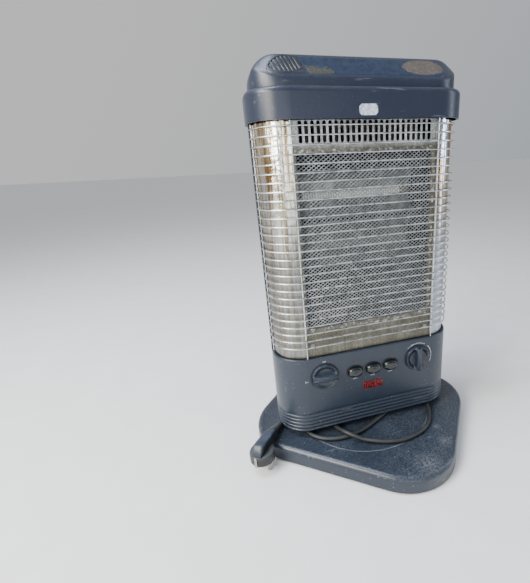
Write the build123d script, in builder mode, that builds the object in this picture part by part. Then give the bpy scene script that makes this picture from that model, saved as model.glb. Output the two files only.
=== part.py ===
from build123d import *
import os
from math import cos, pi, radians, sin, tan

# Portable electric heater on a swivelling foot. Millimetres, +Z up, the front of the upright body faces -Y.
# The origin is on the floor, on the swivel axis. The foot is stored turned under the body.

os.makedirs("parts", exist_ok=True)

# Driving dimensions: foot
base_turn = -38.9
base_w = 335.8
base_d = 287.2
base_corner = 84
base_rim_z = 3
base_top_z = 28
base_edge = 8
base_wall = 3
plate_z = 4
plate_t = 2
foot_pad_r = 11
boss_x = 105
boss_y = 85
screw_r = 1.5
screw_clear = 0.1

# Driving dimensions: swivel and swing drive
swing_half = 38.9
pivot_r = 16
pivot_neck_r = 14
pivot_bore_r = 10
running_gap = 0.08
bush_r = 22
motor_offset = 60
motor_r = 26
crank_r = motor_offset * sin(radians(swing_half))
crank_pin_r = 3
crank_z = 16
crank_t = 2
arm_z = 21
arm_t = 3
collar_r = 34

# Driving dimensions: upright body
body_w = 300
body_d = 105.4
body_corner = 47
body_wall = 2.5
body_z = 39.5
cover_z = 43
cover_t = 3
housing_top_z = 168
band_z = 497.5
lid_z = 535
top_z = 575
rib_count = 5
rib_pitch = 6.4
rib_first_z = 42.6
rib_w = 2.2
rib_depth = 1.2
band_w = 306
band_d = 116
band_corner = 50
band_wall = 3
band_edge = 7
lid_w = 292
lid_d = 96
lid_corner = 44
lid_end_r = 36
lid_step_z = 545
lid_slope_d = 21
lid_slope_h = 28.5

# Driving dimensions: sheet-metal front and guard
sheet_t = 1
sheet_y = -46
sheet_half_w = 104
cheek_w = 291.4
cheek_corner = 42.7
window_w = 203
window_h = 256
window_x = 0.5
window_z = 335
slot_count = 24
slot_pitch = 7.9
slot_w = 4.8
slot_h = 26.4
slot_z = 483.7
wire_r = 1
guard_w = 297.6
guard_d = 104.4
guard_corner = 46
guard_count = 28
guard_pitch = 11.3
guard_top_z = 491.3

# Driving dimensions: controls
knob_x = 79.4
knob_z = 134
knob_r = 21.5
knob_shaft_r = 3
button_x = 30.25
button_z = 132.7
button_w = 25
button_h = 17.5
lens_w = 33.4
lens_h = 14
lens_z = 102.8

# Driving dimensions: heating
tube_r = 6
tube_y = -22
tube_left_x = -90
tube_right_x = 56
tube_upper_z = 403
tube_lower_z = 330
trough_r = 34
trough_y = -14
shield_y = 21.5
rotor_r = 17
rotor_y = -8
rotor_z = 477
rotor_left_x = -92
rotor_right_x = 68

# Driving dimensions: mains cord
cord_r = 3.5
coil_r = 40
coil_layers = 3
coil_y = 212
gland_x = -40
gland_z = 14
gland_end_y = 168

base_x_dir = (cos(radians(base_turn)), sin(radians(base_turn)), 0)
base_plane = Plane(origin=(0, 0, 0), x_dir=base_x_dir, z_dir=(0, 0, 1))
base_rear = base_plane.y_dir
front_y = -body_d / 2


def save(piece, label):
    """Name a finished piece and write it."""
    piece.part.label = label
    export_step(piece.part, f"parts/{label}.step")


def rounded_slab(plane, width, depth, corner, height):
    """A slab with a rounded rectangular outline, standing on the plane."""
    with BuildPart() as slab:
        with BuildSketch(plane):
            RectangleRounded(width, depth, corner)
        extrude(amount=height)
    return slab.part


def outline_tube(z, height, width, depth, corner, wall):
    """An upright tube with a rounded rectangular outline."""
    outer = rounded_slab(Plane.XY.offset(z), width, depth, corner, height)
    inner = rounded_slab(Plane.XY.offset(z), width - 2 * wall, depth - 2 * wall, corner - wall, height)
    return outer - inner


def facing(x, y, z):
    """A plane at a point of the body whose normal points forward, with its own y upward."""
    return Plane(origin=(x, y, z), x_dir=(1, 0, 0), z_dir=(0, -1, 0))


# Foot: a hollow moulding with a rounded top edge, a turning circle scored in its top and four screw bosses.
with BuildPart() as base_shell:
    with BuildSketch(base_plane.offset(base_rim_z)):
        RectangleRounded(base_w, base_d, base_corner)
    extrude(amount=base_top_z - base_rim_z)
    fillet(base_shell.faces().sort_by(Axis.Z)[-1].edges(), base_edge)
    with BuildSketch(base_plane.offset(base_rim_z)):
        RectangleRounded(base_w - 2 * base_wall, base_d - 2 * base_wall, base_corner - base_wall)
    extrude(amount=base_top_z - base_rim_z - base_wall, mode=Mode.SUBTRACT)
    with BuildSketch(base_plane.offset(plate_z + plate_t)):
        with GridLocations(2 * boss_x, 2 * boss_y, 2, 2):
            Circle(5)
    extrude(amount=base_top_z - base_wall - plate_z - plate_t)
    with BuildSketch(base_plane.offset(plate_z + plate_t)):
        with GridLocations(2 * boss_x, 2 * boss_y, 2, 2):
            Circle(screw_r + screw_clear)
    extrude(amount=12, mode=Mode.SUBTRACT)
    with BuildSketch(base_plane.offset(base_top_z - 0.6)):
        Circle(116.6)
        Circle(115.4, mode=Mode.SUBTRACT)
    extrude(amount=0.6, mode=Mode.SUBTRACT)
    with BuildSketch(base_plane):
        Circle(bush_r)
    extrude(amount=base_top_z, mode=Mode.SUBTRACT)
    with BuildSketch(Plane(origin=base_plane.from_local_coords((gland_x, base_d / 2, gland_z)), z_dir=base_rear)):
        Circle(6)
    extrude(amount=-base_wall - 1, mode=Mode.SUBTRACT)
save(base_shell, "base_shell")

# Steel floor plate that closes the foot from below and gives it weight.
with BuildPart() as base_plate:
    with BuildSketch(base_plane.offset(plate_z)):
        RectangleRounded(base_w - 2 * base_wall - 1, base_d - 2 * base_wall - 1, base_corner - base_wall - 0.5)
        with GridLocations(2 * boss_x, 2 * boss_y, 2, 2):
            Circle(screw_r + 2 * screw_clear, mode=Mode.SUBTRACT)
    extrude(amount=plate_t)
save(base_plate, "base_plate")

# Four rubber pads.
with BuildPart() as base_feet:
    with BuildSketch(base_plane):
        with GridLocations(250, 200, 2, 2):
            Circle(foot_pad_r)
    extrude(amount=plate_z)
save(base_feet, "base_feet")

# Four screws that hold the floor plate to the bosses.
with BuildPart() as base_screws:
    with BuildSketch(base_plane.offset(plate_z - 1.8)):
        with GridLocations(2 * boss_x, 2 * boss_y, 2, 2):
            Circle(3.6)
    extrude(amount=1.8)
    with BuildSketch(base_plane.offset(plate_z)):
        with GridLocations(2 * boss_x, 2 * boss_y, 2, 2):
            Circle(screw_r)
    extrude(amount=12)
save(base_screws, "base_screws")

# Flanged plastic bush in the top of the foot.
with BuildPart() as swivel_bush:
    with BuildSketch(Plane.XY.offset(24.5)):
        Circle(bush_r - 0.1)
    extrude(amount=base_top_z - 24.5)
    with BuildSketch(Plane.XY.offset(base_top_z)):
        Circle(30)
    extrude(amount=0.7)
    with BuildSketch(Plane.XY.offset(24)):
        Circle(pivot_r + running_gap)
    extrude(amount=6, mode=Mode.SUBTRACT)
save(swivel_bush, "swivel_bush")

# Geared synchronous motor that swings the body; its shaft stands up on the foot's centre line.
motor_plane = Plane(origin=base_plane.from_local_coords((0, motor_offset, 0)), z_dir=(0, 0, 1))
with BuildPart() as swing_motor:
    with BuildSketch(motor_plane.offset(plate_z + plate_t)):
        Circle(motor_r)
    extrude(amount=9.5)
    with BuildSketch(motor_plane.offset(plate_z + plate_t + 9.5)):
        Circle(2.5)
    extrude(amount=2.4)
save(swing_motor, "swing_motor")

# Crank on the motor shaft. Its pin stands just below the slotted arm, at dead centre in the stored pose.
with BuildPart() as swing_crank:
    with BuildSketch(motor_plane.offset(crank_z)):
        Circle(8)
        with Locations((-crank_r / 2, 0)):
            Rectangle(crank_r, 9)
        with Locations((-crank_r, 0)):
            Circle(5)
        Circle(2.5 + running_gap, mode=Mode.SUBTRACT)
    extrude(amount=crank_t)
    with BuildSketch(motor_plane.offset(crank_z + crank_t)):
        with Locations((-crank_r, 0)):
            Circle(crank_pin_r)
    extrude(amount=2.4)
save(swing_crank, "swing_crank")

# Slotted arm fixed to the pivot; it points to the body's rear.
with BuildPart() as swing_arm:
    with BuildSketch(Plane.XY.offset(arm_z)):
        Circle(bush_r)
        with Locations((0, 54)):
            Rectangle(16, 106)
        with Locations((0, motor_offset)):
            SlotOverall(82, 2 * crank_pin_r + 1, rotation=90, mode=Mode.SUBTRACT)
        Circle(pivot_neck_r + 0.05, mode=Mode.SUBTRACT)
    extrude(amount=arm_t)
save(swing_arm, "swing_arm")

# Hollow steel pivot with a flange above the body's bottom cover and a neck for the arm.
with BuildPart() as pivot_shaft:
    with BuildSketch(Plane.XY.offset(19.2)):
        Circle(pivot_neck_r)
    extrude(amount=arm_z + arm_t - 19.2)
    with BuildSketch(Plane.XY.offset(arm_z + arm_t)):
        Circle(pivot_r)
    extrude(amount=cover_z + cover_t - arm_z - arm_t)
    with BuildSketch(Plane.XY.offset(cover_z + cover_t)):
        Circle(24)
    extrude(amount=3)
    with BuildSketch(Plane.XY.offset(19.2)):
        Circle(pivot_bore_r)
    extrude(amount=40, mode=Mode.SUBTRACT)
save(pivot_shaft, "pivot_shaft")

# Spring ring that keeps the arm on the pivot.
with BuildPart() as retaining_ring:
    with BuildSketch(Plane.XY.offset(19.4)):
        Circle(18)
        Circle(pivot_neck_r + 0.05, mode=Mode.SUBTRACT)
    extrude(amount=1.5)
save(retaining_ring, "retaining_ring")

# Round column between the foot and the body.
with BuildPart() as swivel_collar:
    with BuildSketch(Plane.XY.offset(base_top_z + 1)):
        Circle(collar_r)
        Circle(pivot_r + 0.1, mode=Mode.SUBTRACT)
    extrude(amount=cover_z - base_top_z - 1)
save(swivel_collar, "swivel_collar")

# Floor of the control housing, recessed behind its skirt, with rows of air slots.
with BuildPart() as bottom_cover:
    with BuildSketch(Plane.XY.offset(cover_z)):
        RectangleRounded(body_w - 2 * body_wall - 0.4, body_d - 2 * body_wall - 0.4, body_corner - body_wall - 0.2)
        Circle(pivot_r + 0.1, mode=Mode.SUBTRACT)
        for side in (-1, 1):
            with Locations((side * 84, 0)):
                with GridLocations(9, 0, 8, 1):
                    SlotOverall(50, 4, rotation=90, mode=Mode.SUBTRACT)
    extrude(amount=cover_t)
save(bottom_cover, "bottom_cover")

# Control housing: moulded tub with ribs round its skirt, an open deck on top and holes for the controls.
with BuildPart() as control_housing:
    with BuildSketch(Plane.XY.offset(body_z)):
        RectangleRounded(body_w, body_d, body_corner)
    extrude(amount=housing_top_z - body_z)
    fillet(control_housing.faces().sort_by(Axis.Z)[-1].edges(), 2)
    with BuildSketch(Plane.XY.offset(body_z)):
        RectangleRounded(body_w - 2 * body_wall, body_d - 2 * body_wall, body_corner - body_wall)
    extrude(amount=housing_top_z - body_z - body_wall, mode=Mode.SUBTRACT)
    with BuildSketch(Plane.XY.offset(housing_top_z - body_wall)):
        RectangleRounded(240, 62, 20)
    extrude(amount=body_wall, mode=Mode.SUBTRACT)
    for rib in range(rib_count):
        with BuildSketch(Plane.XY.offset(rib_first_z + rib * rib_pitch)):
            RectangleRounded(body_w + 2, body_d + 2, body_corner + 1)
            RectangleRounded(body_w - 2 * rib_depth, body_d - 2 * rib_depth, body_corner - rib_depth,
                             mode=Mode.SUBTRACT)
        extrude(amount=rib_w, mode=Mode.SUBTRACT)
    with BuildSketch(facing(0, front_y, 0)):
        with Locations((-knob_x, knob_z), (knob_x, knob_z)):
            Circle(knob_shaft_r + 0.6)
        with Locations((-button_x, button_z), (0, button_z), (button_x, button_z)):
            Ellipse(button_w / 2 + 0.3, button_h / 2 + 0.3)
        with Locations((0, lens_z)):
            Rectangle(lens_w + 0.2, lens_h + 0.2)
    extrude(amount=-body_wall, mode=Mode.SUBTRACT)
save(control_housing, "control_housing")

# Two turning knobs: a disc with a raised grip bar and a shaft into its switch.
for side, label, grip_angle in ((-1, "power_knob", 0), (1, "thermostat_knob", 90)):
    with BuildPart() as knob:
        with BuildSketch(facing(side * knob_x, front_y - 0.5, knob_z)):
            Circle(knob_r)
        extrude(amount=5, taper=4)
        with BuildSketch(facing(side * knob_x, front_y - 5.5, knob_z)):
            SlotOverall(2 * knob_r - 3, 9, rotation=grip_angle)
        extrude(amount=8, taper=6)
        with BuildSketch(facing(side * knob_x, front_y - 0.5, knob_z)):
            Circle(knob_shaft_r)
        extrude(amount=-14.5)
    save(knob, label)

# Three push buttons: an oval cap, a collar inside the wall and a square stem.
for place, label in ((-1, "button_left"), (0, "button_middle"), (1, "button_right")):
    with BuildPart() as button:
        with BuildSketch(facing(place * button_x, front_y + 3, button_z)):
            Ellipse(button_w / 2, button_h / 2)
        extrude(amount=11)
        fillet(button.faces().sort_by(Axis.Y)[0].edges(), 2)
        with BuildSketch(facing(place * button_x, front_y + 5, button_z)):
            Ellipse(button_w / 2 + 1.4, button_h / 2 + 1.4)
        extrude(amount=2)
        with BuildSketch(facing(place * button_x, front_y + 10.5, button_z)):
            Rectangle(8, 8)
        extrude(amount=5.5)
    save(button, label)

# Red window of the pilot lamp.
with BuildPart() as lamp_lens:
    with BuildSketch(facing(0, front_y + body_wall, lens_z)):
        Rectangle(lens_w, lens_h)
    extrude(amount=body_wall + 0.8)
    fillet(lamp_lens.faces().sort_by(Axis.Y)[0].edges(), 0.5)
save(lamp_lens, "lamp_lens")

# Pilot lamp in its holder behind the window.
with BuildPart() as pilot_lamp:
    with BuildSketch(Plane(origin=(-11, front_y + 9, lens_z), z_dir=(1, 0, 0))):
        Circle(3.5)
    extrude(amount=22)
    with BuildSketch(Plane(origin=(11, front_y + 9, lens_z), z_dir=(1, 0, 0))):
        Rectangle(10, 10)
    extrude(amount=6)
save(pilot_lamp, "pilot_lamp")

# Three slanted red marks above the buttons.
with BuildPart() as button_marks:
    with BuildSketch(facing(0, front_y, 150.5)):
        with Locations((-button_x, 0), (0, 0), (button_x, 0)):
            Rectangle(3.6, 1.6, rotation=35)
    extrude(amount=0.3)
save(button_marks, "button_marks")

# Rotary mains switch and thermostat, each bored for its knob's shaft.
for side, label in ((-1, "rotary_switch"), (1, "thermostat")):
    with BuildPart() as switch:
        with BuildSketch(facing(side * knob_x, front_y + 12, knob_z)):
            Rectangle(32, 30)
            Circle(knob_shaft_r + running_gap, mode=Mode.SUBTRACT)
        extrude(amount=9)
        with BuildSketch(facing(side * knob_x, front_y + 34, knob_z)):
            Rectangle(32, 30)
        extrude(amount=18)
        with BuildSketch(facing(side * knob_x, front_y + 16, knob_z)):
            Rectangle(32, 30)
            Circle(knob_shaft_r + running_gap, mode=Mode.SUBTRACT)
        extrude(amount=4)
    save(switch, label)

# Block of three push switches behind the buttons.
with BuildPart() as push_switches:
    with BuildSketch(facing(0, front_y + 32, button_z)):
        Rectangle(88, 18)
    extrude(amount=18)
save(push_switches, "push_switches")

# Terminal block and tip-over switch on the floor of the housing.
with BuildPart() as terminal_block:
    with BuildSketch(Plane.XY.offset(cover_z + cover_t)):
        with Locations((-54, 26)):
            Rectangle(44, 16)
    extrude(amount=14)
    with BuildSketch(Plane.XY.offset(cover_z + cover_t + 6)):
        with Locations((-54, 26)):
            with GridLocations(13, 0, 3, 1):
                Circle(2.5)
    extrude(amount=8, mode=Mode.SUBTRACT)
save(terminal_block, "terminal_block")

with BuildPart() as tip_switch:
    with BuildSketch(Plane.XY.offset(cover_z + cover_t)):
        with Locations((52, 26)):
            Rectangle(28, 14)
    extrude(amount=24)
save(tip_switch, "tip_switch")

# Rear half of the tall casing, with columns of air slots.
with BuildPart() as rear_shell:
    add(outline_tube(housing_top_z, band_z - housing_top_z, body_w, body_d, body_corner, 2))
    with BuildSketch(Plane.XY.offset(housing_top_z)):
        with Locations((0, 0.5 - body_d)):
            Rectangle(2 * body_w, 2 * body_d)
    extrude(amount=band_z - housing_top_z, mode=Mode.SUBTRACT)
    with BuildSketch(Plane.XZ.offset(-body_d / 2 - 1)):
        with Locations((0, 452), (0, 230)):
            with GridLocations(9, 0, 20, 1):
                SlotOverall(48, 4, rotation=90)
        with Locations((-95, 190), (95, 190), (-95, 332), (95, 332), (-95, 482), (95, 482)):
            Circle(screw_r + screw_clear)
    extrude(amount=4, mode=Mode.SUBTRACT)
save(rear_shell, "rear_shell")

# Six screws in the rear shell.
with BuildPart() as rear_screws:
    with BuildSketch(Plane.XZ.offset(-body_d / 2)):
        with Locations((-95, 190), (95, 190), (-95, 332), (95, 332), (-95, 482), (95, 482)):
            Circle(3.5)
    extrude(amount=-1.6)
    with BuildSketch(Plane.XZ.offset(-body_d / 2)):
        with Locations((-95, 190), (95, 190), (-95, 332), (95, 332), (-95, 482), (95, 482)):
            Circle(screw_r)
    extrude(amount=8)
save(rear_screws, "rear_screws")

# Band round the top of the casing, with a deck under the lid.
with BuildPart() as top_band:
    with BuildSketch(Plane.XY.offset(band_z)):
        RectangleRounded(band_w, band_d, band_corner)
    extrude(amount=lid_z - band_z)
    fillet(top_band.faces().sort_by(Axis.Z)[-1].edges(), band_edge)
    with BuildSketch(Plane.XY.offset(band_z)):
        RectangleRounded(band_w - 2 * band_wall, band_d - 2 * band_wall, band_corner - band_wall)
    extrude(amount=lid_z - band_z - band_wall, mode=Mode.SUBTRACT)
    with BuildSketch(Plane.XY.offset(lid_z - band_wall)):
        RectangleRounded(230, 60, 25)
    extrude(amount=band_wall, mode=Mode.SUBTRACT)
save(top_band, "top_band")

# Blank sticker with clipped corners on the band.
with BuildPart() as blank_sticker:
    with BuildSketch(facing(-3.5, -band_d / 2, 507.5)):
        Rectangle(25, 13)
        chamfer(vertices(), 3)
    extrude(amount=0.3)
save(blank_sticker, "blank_sticker")


def lid_block(inset, drop):
    """The lid's outer shape: an oval plan, round shoulders at both ends and a slope front and rear."""
    half_d = lid_d / 2 - inset
    crown = top_z - drop
    step = lid_step_z - drop
    plan = rounded_slab(Plane.XY.offset(lid_z), lid_w - 2 * inset, lid_d - 2 * inset, lid_corner - inset,
                        top_z - lid_z)
    with BuildPart() as shoulders:
        with BuildSketch(Plane.XZ.offset(lid_d)):
            with Locations((0, crown - 60)):
                RectangleRounded(lid_w - 2 * inset, 120, lid_end_r - inset)
        extrude(amount=-2 * lid_d)
    with BuildPart() as slopes:
        with BuildSketch(Plane.YZ.offset(-lid_w)):
            with BuildLine():
                Polyline((-half_d, lid_z - 5), (-half_d, step), (-half_d + lid_slope_d, step + lid_slope_h),
                         (-12, crown), (12, crown), (half_d - lid_slope_d, step + lid_slope_h),
                         (half_d, step), (half_d, lid_z - 5), close=True)
            make_face()
        extrude(amount=2 * lid_w)
    return plan & shoulders.part & slopes.part


# Lid: hollow cap that stands on the band.
with BuildPart() as top_lid:
    add(lid_block(0, 0) - lid_block(2.5, 2.5))
save(top_lid, "top_lid")

# The lid's front slope carries a vented insert on the left and a long label film on the right.
slope_len = (lid_slope_d ** 2 + lid_slope_h ** 2) ** 0.5
slope_normal = (0, -lid_slope_h / slope_len, lid_slope_d / slope_len)
slope_mid = (0, -lid_d / 2 + lid_slope_d / 2, lid_step_z + lid_slope_h / 2)
slope_plane = Plane(origin=slope_mid, x_dir=(1, 0, 0), z_dir=slope_normal)

with BuildPart() as lid_vent_insert:
    with BuildSketch(slope_plane):
        with BuildLine():
            ThreePointArc((-124, 4), (-108, 13.5), (-88, 14.5))
            Line((-88, 14.5), (-78, -13.5))
            Line((-78, -13.5), (-100, -14))
            ThreePointArc((-100, -14), (-117, -8), (-124, 4))
        make_face()
        with Locations((-101, 0)):
            with GridLocations(5, 0, 6, 1):
                SlotOverall(17, 2.4, rotation=105, mode=Mode.SUBTRACT)
    extrude(amount=1.2)
save(lid_vent_insert, "lid_vent_insert")

with BuildPart() as lid_label:
    with BuildSketch(slope_plane):
        with BuildLine():
            Line((-74, -13.5), (-84, 14.5))
            Line((-84, 14.5), (95, 14.5))
            ThreePointArc((95, 14.5), (116, 2), (95, -13.5))
            Line((95, -13.5), (-74, -13.5))
        make_face()
    extrude(amount=0.5)
save(lid_label, "lid_label")

# Bare sheet-metal front: a comb of air slots above, a large window and a lower strip.
with BuildPart() as front_plate:
    with BuildSketch(facing(0, sheet_y, (band_z + housing_top_z) / 2)):
        Rectangle(2 * sheet_half_w, band_z - housing_top_z)
    extrude(amount=sheet_t)
    with BuildSketch(facing(0, sheet_y, 0)):
        with Locations((window_x, window_z)):
            Rectangle(window_w, window_h)
        with Locations((-0.5, slot_z)):
            with GridLocations(slot_pitch, 0, slot_count, 1):
                SlotOverall(slot_h, slot_w, rotation=90)
        with Locations((-94, 187), (94, 187)):
            Circle(screw_r + screw_clear)
    extrude(amount=sheet_t, mode=Mode.SUBTRACT)
save(front_plate, "front_plate")

with BuildPart() as front_screws:
    with BuildSketch(facing(0, sheet_y - sheet_t, 0)):
        with Locations((-94, 187), (94, 187)):
            Circle(3.2)
    extrude(amount=1.4)
    with BuildSketch(facing(0, sheet_y - sheet_t, 0)):
        with Locations((-94, 187), (94, 187)):
            Circle(screw_r)
    extrude(amount=-7)
save(front_screws, "front_screws")

# Polished reflector cheeks that carry the front round to the rear shell.
for side, label in ((-1, "left_cheek"), (1, "right_cheek")):
    with BuildPart() as cheek:
        add(outline_tube(housing_top_z, band_z - housing_top_z, cheek_w, -2 * (sheet_y - sheet_t), cheek_corner,
                         sheet_t))
        with BuildSketch(Plane.XY.offset(housing_top_z)):
            with Locations((side * (sheet_half_w + 0.2 + body_w / 2), -body_d / 2)):
                Rectangle(body_w, body_d)
        extrude(amount=band_z - housing_top_z, mode=Mode.INTERSECT)
    save(cheek, label)

# Frame and fine mesh behind the window.
with BuildPart() as mesh_frame:
    with BuildSketch(facing(window_x - 0.5, sheet_y + 4, window_z)):
        Rectangle(window_w + 3, window_h + 4)
        with Locations((-1, 1)):
            Rectangle(196, 244, mode=Mode.SUBTRACT)
    extrude(amount=4)
save(mesh_frame, "mesh_frame")

with BuildPart() as mesh_panel:
    with BuildSketch(facing(window_x - 0.5, sheet_y + 4.8, window_z)):
        Rectangle(window_w + 3, window_h + 4)
    extrude(amount=0.8)
save(mesh_panel, "mesh_panel")

# Two radiant heating tubes with ceramic end caps, each in a curved reflector.
for label, tube_z in (("heating_tube_upper", tube_upper_z), ("heating_tube_lower", tube_lower_z)):
    with BuildPart() as tube:
        with BuildSketch(Plane(origin=(tube_left_x, tube_y, tube_z), z_dir=(1, 0, 0))):
            Circle(tube_r)
        extrude(amount=tube_right_x - tube_left_x)
    save(tube, label)

with BuildPart() as element_caps:
    for tube_z in (tube_upper_z, tube_lower_z):
        for cap_x in (tube_left_x - 12, tube_right_x):
            with BuildSketch(Plane(origin=(cap_x, tube_y, tube_z), z_dir=(1, 0, 0))):
                Circle(8.5)
            extrude(amount=12)
save(element_caps, "element_caps")

for label, tube_z in (("reflector_upper", tube_upper_z), ("reflector_lower", tube_lower_z)):
    with BuildPart() as reflector:
        with BuildSketch(Plane(origin=(-98, trough_y, tube_z), x_dir=(0, 1, 0), z_dir=(1, 0, 0))):
            Circle(trough_r)
            Circle(trough_r - 0.8, mode=Mode.SUBTRACT)
            with Locations((-trough_r, 0)):
                Rectangle(2 * trough_r, 2 * trough_r, mode=Mode.SUBTRACT)
        extrude(amount=192)
    save(reflector, label)

# Flat heat shield between the reflectors and the rear shell, with the thermal cut-out on its back.
with BuildPart() as heat_shield:
    with BuildSketch(facing(0, shield_y + 1, 318)):
        Rectangle(268, 290)
    extrude(amount=1)
save(heat_shield, "heat_shield")

with BuildPart() as thermal_cutout:
    with BuildSketch(facing(60, shield_y + 9, 425)):
        Circle(9)
    extrude(amount=8)
save(thermal_cutout, "thermal_cutout")

# Cross-flow fan: a drum of blades on a shaft, its motor, its bearing, its scroll and the finned ceramic heater.
rotor_plane = Plane(origin=(rotor_left_x, rotor_y, rotor_z), x_dir=(0, 1, 0), z_dir=(1, 0, 0))
with BuildPart() as fan_rotor:
    for disc_x in (0, (rotor_right_x - rotor_left_x) / 2, rotor_right_x - rotor_left_x - 1.5):
        with BuildSketch(rotor_plane.offset(disc_x)):
            Circle(rotor_r)
        extrude(amount=1.5)
    with BuildSketch(rotor_plane):
        with PolarLocations(rotor_r - 3.2, 18):
            Rectangle(5, 0.8, rotation=35)
    extrude(amount=rotor_right_x - rotor_left_x)
    with BuildSketch(rotor_plane.offset(-10)):
        Circle(2.5)
    extrude(amount=rotor_right_x - rotor_left_x + 20)
save(fan_rotor, "fan_rotor")

with BuildPart() as fan_motor:
    with BuildSketch(rotor_plane.offset(rotor_right_x - rotor_left_x + 3)):
        Circle(16)
        Circle(2.5 + running_gap, mode=Mode.SUBTRACT)
    extrude(amount=22)
save(fan_motor, "fan_motor")

with BuildPart() as fan_bearing:
    with BuildSketch(rotor_plane.offset(-9)):
        Circle(7)
        Circle(2.5 + running_gap, mode=Mode.SUBTRACT)
    extrude(amount=6)
save(fan_bearing, "fan_bearing")

with BuildPart() as fan_scroll:
    with BuildSketch(rotor_plane.offset(-1)):
        Circle(rotor_r + 2)
        Circle(rotor_r + 1, mode=Mode.SUBTRACT)
        with Locations((-rotor_r - 2, 0)):
            Rectangle(2 * rotor_r + 4, 3 * rotor_r, mode=Mode.SUBTRACT)
    extrude(amount=rotor_right_x - rotor_left_x + 2)
save(fan_scroll, "fan_scroll")

with BuildPart() as ceramic_heater:
    with BuildSketch(facing(-12, -30, rotor_z + 3)):
        Rectangle(170, 24)
        with GridLocations(5, 0, 32, 1):
            Rectangle(3, 18, mode=Mode.SUBTRACT)
    extrude(amount=10)
save(ceramic_heater, "ceramic_heater")

# Wire guard: U-shaped horizontal wires welded to four uprights.
with BuildPart() as wire_guard:
    half_w = guard_w / 2
    half_d = guard_d / 2
    for row in range(guard_count):
        z = guard_top_z - row * guard_pitch
        with BuildLine() as hoop:
            Line((-half_w, 0, z), (-half_w, guard_corner - half_d, z))
            RadiusArc((-half_w, guard_corner - half_d, z), (guard_corner - half_w, -half_d, z), -guard_corner)
            Line((guard_corner - half_w, -half_d, z), (half_w - guard_corner, -half_d, z))
            RadiusArc((half_w - guard_corner, -half_d, z), (half_w, guard_corner - half_d, z), -guard_corner)
            Line((half_w, guard_corner - half_d, z), (half_w, 0, z))
        with BuildSketch(Plane(origin=(-half_w, 0, z), z_dir=(0, -1, 0))):
            Circle(wire_r)
        sweep(path=hoop.wires()[0])
    with BuildSketch(Plane.XY.offset(housing_top_z)):
        with Locations((-sheet_half_w, 1.7 - half_d), (sheet_half_w, 1.7 - half_d)):
            Circle(wire_r)
        with Locations((1.7 - half_w, -2), (half_w - 1.7, -2)):
            Circle(wire_r)
    extrude(amount=band_z - housing_top_z)
save(wire_guard, "wire_guard")

# Gland and strain relief of the mains cord, in the foot's rear wall.
gland_mouth = base_plane.from_local_coords((gland_x, base_d / 2, gland_z))
gland_plane = Plane(origin=gland_mouth, z_dir=base_rear)
with BuildPart() as cord_gland:
    with BuildSketch(gland_plane.offset(-base_wall)):
        Circle(5.9)
    extrude(amount=base_wall)
    with BuildSketch(gland_plane):
        Circle(9)
    extrude(amount=2.5)
    with BuildSketch(gland_plane.offset(2.5)):
        Circle(7)
    with BuildSketch(gland_plane.offset(gland_end_y - base_d / 2)):
        Circle(cord_r + 1.2)
    loft()
save(cord_gland, "cord_gland")

# Routes of the mains cord, from the gland to the coil on the floor and from the coil to the plug.
lead_route = [(74.4, 155.9, 14), (82.5, 166.0, 12.6), (93.2, 179.2, 5.0), (102.0, 190.1, 3.6)]
tail_route = [
    (164.3, 139.9, 18.2), (153.6, 126.6, 18.6), (144.3, 113.6, 21.5), (135.8, 99.9, 27.8), (128.9, 84.9, 31.4),
    (124.3, 68.0, 32), (121.2, 49.9, 32), (120.5, 29.9, 31.7), (120, 8.6, 31.7), (116, -15, 31.7),
    (108.5, -39, 31.7), (101, -61, 31.7), (89, -83, 31.7), (72, -99.5, 31.7), (50, -108.5, 31.7),
    (27, -112, 31.7), (5, -108.5, 31.7), (-15, -100, 31.9), (-33, -90.5, 32.8), (-46, -83, 37.6),
    (-56, -74, 39.6), (-62, -61, 36.6), (-66.5, -46, 32.4), (-67, -24, 31.7), (-63, 4, 31.7), (-50, 32, 31.7),
    (-27, 52, 31.7), (4, 58, 31.7), (33, 50, 31.7), (53, 28, 31.7), (58, 0, 31.7), (50, -24, 31.7),
    (34, -38, 31.7), (17, -48.3, 31.7), (0, -57, 31.7), (-17, -66, 31.7), (-35, -72.5, 31.7),
    (-54, -75, 31.7), (-73, -73.5, 31.7), (-90, -67.5, 31.7), (-104, -56.5, 31.7), (-112, -42, 31.7),
    (-117.5, -27, 31.7), (-113.3, -11.5, 31.7), (-101.1, -1.2, 31.7), (-85.1, 0.2, 31.7), (-73.8, 8.9, 31.7),
    (-69, 22.4, 31.7), (-72.2, 36.3, 31.7), (-82.5, 46.3, 31.7), (-96.5, 49.2, 31.7), (-109.8, 44.1, 31.7),
    (-119.6, 31, 31.7), (-129.7, 17.2, 31.8), (-140, 3, 32.3), (-150.3, -11, 33.6),
]


def route_radii(route):
    """The arc at each corner of a route: as large as its two runs allow."""
    points = [Vector(*point) for point in route]
    radii = []
    for before, corner, after in zip(points, points[1:], points[2:]):
        arriving = corner - before
        leaving = after - corner
        shorter = min(arriving.length, leaving.length)
        radii.append(0.45 * shorter / tan(radians(arriving.get_angle(leaving)) / 2))
    return radii


for label, route in (("cord_lead", lead_route), ("cord_tail", tail_route)):
    radii = route_radii(route)
    with BuildPart() as cord:
        with BuildLine() as cord_path:
            FilletPolyline(*route, radius=radii)
        path = cord_path.wires()[0]
        with BuildSketch(Plane(origin=path @ 0, z_dir=path % 0)):
            Circle(cord_r)
        sweep(path=path)
    save(cord, label)
    length = path.length
    print(label, "length", round(length), "volume ratio", round(cord.part.volume / (pi * cord_r ** 2 * length), 4))
    print("radii", [round(radius) for radius in radii])

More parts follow.
